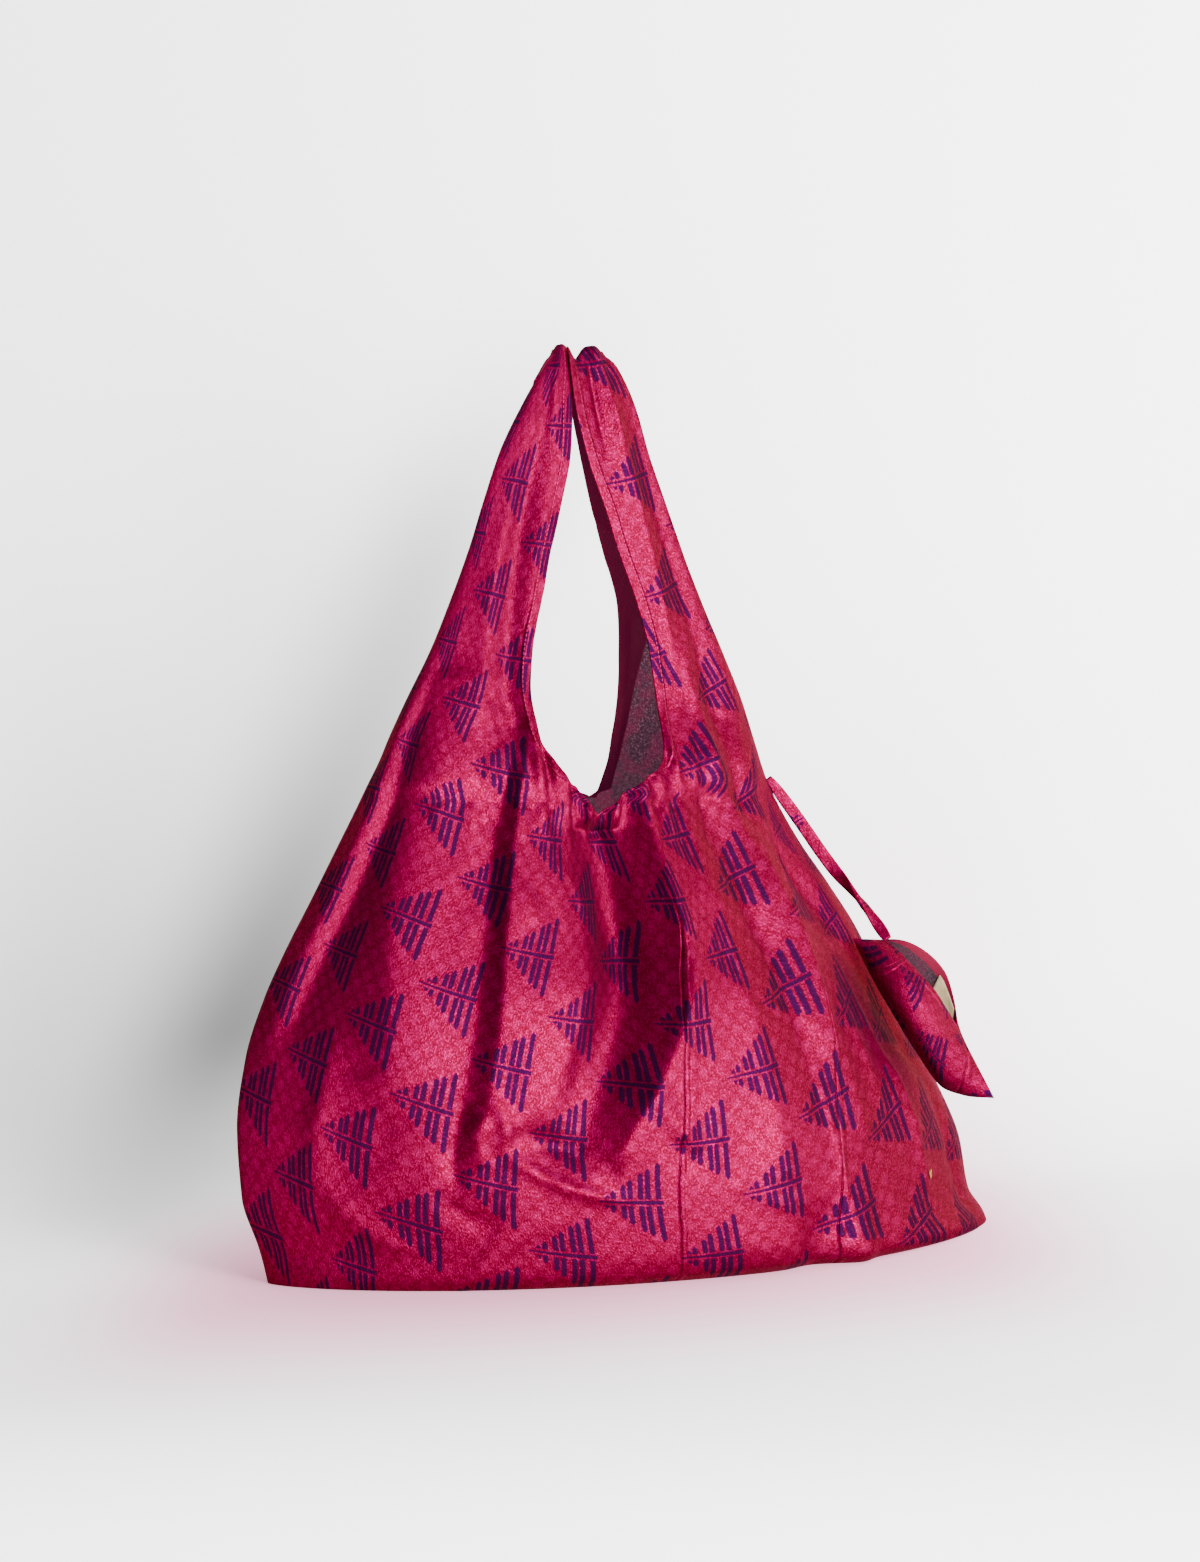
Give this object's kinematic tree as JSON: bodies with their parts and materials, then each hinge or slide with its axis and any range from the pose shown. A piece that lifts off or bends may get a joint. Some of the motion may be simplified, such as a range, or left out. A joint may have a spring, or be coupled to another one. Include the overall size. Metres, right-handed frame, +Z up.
{
  "type": "reusable shopping bag",
  "caption": "Reusable cloth shopping bag with two sewn shoulder handles, standing open and puffed out, with a storage pouch on a narrow tie.",
  "frame": {"origin": "on the floor under the middle of the bag's box", "axes": "+Z up to the handle tops, X along the base from ear to ear with the pouch at +X, -Y out of the front panel"},
  "size_m": [0.5153, 0.2388, 0.5482],
  "materials": {
    "bag_cloth": "satin crepe, printed",
    "pouch_cloth": "satin crepe, printed",
    "tie_cloth": "satin crepe, printed",
    "label_cloth": "matt woven tape"
  },
  "bodies": {
    "root": {"front_panel": "bag_cloth", "back_panel": "bag_cloth", "pouch_front": "pouch_cloth", "pouch_back": "pouch_cloth", "pouch_tie": "tie_cloth", "pouch_label": "label_cloth"}
  },
  "joints": []
}
